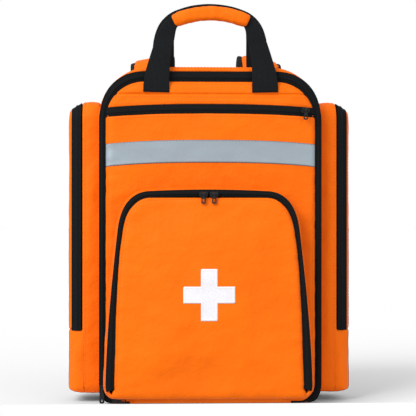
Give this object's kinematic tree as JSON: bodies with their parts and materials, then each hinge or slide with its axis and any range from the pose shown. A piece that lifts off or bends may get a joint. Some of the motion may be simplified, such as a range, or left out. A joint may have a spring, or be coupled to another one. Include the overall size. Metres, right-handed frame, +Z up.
{
  "type": "first-responder backpack",
  "caption": "Upright soft first-responder backpack with a zip-open front lid, zipped front and side pockets, twin grab handles, padded shoulder straps and a reflective band.",
  "frame": {"origin": "middle of the bag's footprint, on the surface it stands on", "axes": "+Z up, -Y towards the zipped front, +X to the right of someone facing the front"},
  "size_m": [0.39, 0.2604, 0.5385],
  "materials": {
    "orange_fabric": "plain-weave coated nylon, soft satin sheen",
    "black_tape": "woven zip tape with moulded coil teeth",
    "black_webbing": "ribbed flat webbing",
    "air_mesh": "open spacer mesh over foam",
    "lining": "smooth grey lining cloth",
    "reflective": "grey retroreflective tape, satin",
    "white_patch": "white embroidered twill",
    "dark_metal": "black enamelled zinc casting",
    "black_plastic": "moulded acetal, fine texture"
  },
  "bodies": {
    "shell": {"main_shell": "orange_fabric", "back_board": "lining", "base_board": "lining", "inner_band_lower": "black_webbing", "inner_band_upper": "black_webbing", "main_zip_tape_rear": "black_tape", "left_pocket_tray": "orange_fabric", "right_pocket_tray": "orange_fabric", "left_zip_tape_rear": "black_tape", "right_zip_tape_rear": "black_tape", "back_pad_left": "air_mesh", "back_pad_right": "air_mesh", "lumbar_pad": "air_mesh", "strap_yoke": "black_webbing", "left_shoulder_strap": "orange_fabric", "right_shoulder_strap": "orange_fabric", "left_ladder_lock": "black_plastic", "right_ladder_lock": "black_plastic", "left_lower_webbing": "black_webbing", "right_lower_webbing": "black_webbing", "left_anchor_tab": "black_webbing", "right_anchor_tab": "black_webbing"},
    "lid": {"lid_panel": "orange_fabric", "main_zip_tape_front": "black_tape", "upper_zip_tape": "black_tape", "reflective_band": "reflective", "slip_pocket_liner": "lining", "pocket_gusset": "orange_fabric", "pocket_zip_tape_rear": "black_tape"},
    "front_flap": {"pocket_flap": "orange_fabric", "pocket_zip_tape_front": "black_tape", "emblem_patch": "white_patch"},
    "left_flap": {"left_flap_panel": "orange_fabric", "left_zip_tape_front": "black_tape"},
    "right_flap": {"right_flap_panel": "orange_fabric", "right_zip_tape_front": "black_tape"},
    "front_handle": {"front_handle_webbing": "black_webbing", "handle_grip": "orange_fabric"},
    "rear_handle": {"rear_handle_webbing": "black_webbing"},
    "main_slider_upper_body": {"main_slider_upper": "dark_metal"},
    "main_slider_lower_body": {"main_slider_lower": "dark_metal"},
    "upper_slider_body": {"upper_slider": "dark_metal"},
    "pocket_slider_left_body": {"pocket_slider_left": "dark_metal"},
    "pocket_slider_right_body": {"pocket_slider_right": "dark_metal"},
    "left_slider_body": {"left_slider": "dark_metal"},
    "right_slider_body": {"right_slider": "dark_metal"},
    "main_pull_upper_body": {"main_pull_upper": "dark_metal"},
    "main_pull_lower_body": {"main_pull_lower": "dark_metal"},
    "upper_pull_body": {"upper_pull": "dark_metal"},
    "pocket_pull_left_body": {"pocket_pull_left": "dark_metal"},
    "pocket_pull_right_body": {"pocket_pull_right": "dark_metal"},
    "left_pull_body": {"left_pull": "dark_metal"},
    "right_pull_body": {"right_pull": "dark_metal"}
  },
  "joints": [
    {"name": "lid_opens", "type": "hinge", "parent": "shell", "child": "lid", "pos_m": [0, -0.06875, 0], "axis": [1, 0, 0], "range_deg": [0, 90]},
    {"name": "front_pocket_opens", "type": "hinge", "parent": "lid", "child": "front_flap", "pos_m": [0, -0.12265, 0.012], "axis": [1, 0, 0], "range_deg": [0, 80]},
    {"name": "left_pocket_opens", "type": "hinge", "parent": "shell", "child": "left_flap", "pos_m": [-0.195, -0.00375, 0.098], "axis": [0, -1, 0], "range_deg": [0, 100]},
    {"name": "right_pocket_opens", "type": "hinge", "parent": "shell", "child": "right_flap", "pos_m": [0.195, -0.00375, 0.098], "axis": [0, 1, 0], "range_deg": [0, 100]},
    {"name": "handle_front_swings", "type": "hinge", "parent": "lid", "child": "front_handle", "pos_m": [0, -0.07965, 0.4175], "axis": [1, 0, 0], "range_deg": [0, 150]},
    {"name": "handle_rear_swings", "type": "hinge", "parent": "shell", "child": "rear_handle", "pos_m": [0, -0.05375, 0.453], "axis": [-1, 0, 0], "range_deg": [0, 90]},
    {"name": "zip_main_upper_runs", "type": "slide", "parent": "lid", "child": "main_slider_upper_body", "axis": [0, 0, 1], "range_m": [0, 0.33]},
    {"name": "zip_main_lower_runs", "type": "slide", "parent": "lid", "child": "main_slider_lower_body", "axis": [1, 0, 0], "range_m": [0, 0.013]},
    {"name": "zip_upper_runs", "type": "slide", "parent": "lid", "child": "upper_slider_body", "axis": [-1, 0, 0], "range_m": [0, 0.25]},
    {"name": "zip_pocket_left_runs", "type": "slide", "parent": "front_flap", "child": "pocket_slider_left_body", "axis": [-1, 0, 0], "range_m": [0, 0.06]},
    {"name": "zip_pocket_right_runs", "type": "slide", "parent": "front_flap", "child": "pocket_slider_right_body", "axis": [1, 0, 0], "range_m": [0, 0.06]},
    {"name": "zip_side_left_runs", "type": "slide", "parent": "left_flap", "child": "left_slider_body", "axis": [0, 0, 1], "range_m": [0, 0.25]},
    {"name": "zip_side_right_runs", "type": "slide", "parent": "right_flap", "child": "right_slider_body", "axis": [0, 0, 1], "range_m": [0, 0.25]},
    {"name": "zip_pull_main_upper", "type": "hinge", "parent": "main_slider_upper_body", "child": "main_pull_upper_body", "pos_m": [-0.14555, -0.07795, 0.02], "axis": [-1, 0, 0], "range_deg": [0, 150]},
    {"name": "zip_pull_main_lower", "type": "hinge", "parent": "main_slider_lower_body", "child": "main_pull_lower_body", "pos_m": [-0.126, -0.07795, 0.0049], "axis": [0, 0, -1], "range_deg": [0, 150]},
    {"name": "zip_pull_upper", "type": "hinge", "parent": "upper_slider_body", "child": "upper_pull_body", "pos_m": [0.127, -0.08405, 0.3935], "axis": [-1, 0, 0], "range_deg": [0, 150]},
    {"name": "zip_pull_pocket_left", "type": "hinge", "parent": "pocket_slider_left_body", "child": "pocket_pull_left_body", "pos_m": [-0.011, -0.11221, 0.2805], "axis": [-1, 0, 0], "range_deg": [0, 150]},
    {"name": "zip_pull_pocket_right", "type": "hinge", "parent": "pocket_slider_right_body", "child": "pocket_pull_right_body", "pos_m": [0.003, -0.11221, 0.2805], "axis": [-1, 0, 0], "range_deg": [0, 150]},
    {"name": "zip_pull_side_left", "type": "hinge", "parent": "left_slider_body", "child": "left_pull_body", "pos_m": [-0.1852, 0.0388, 0.125], "axis": [0, 1, 0], "range_deg": [0, 150]},
    {"name": "zip_pull_side_right", "type": "hinge", "parent": "right_slider_body", "child": "right_pull_body", "pos_m": [0.1852, 0.0388, 0.125], "axis": [0, -1, 0], "range_deg": [0, 150]}
  ]
}
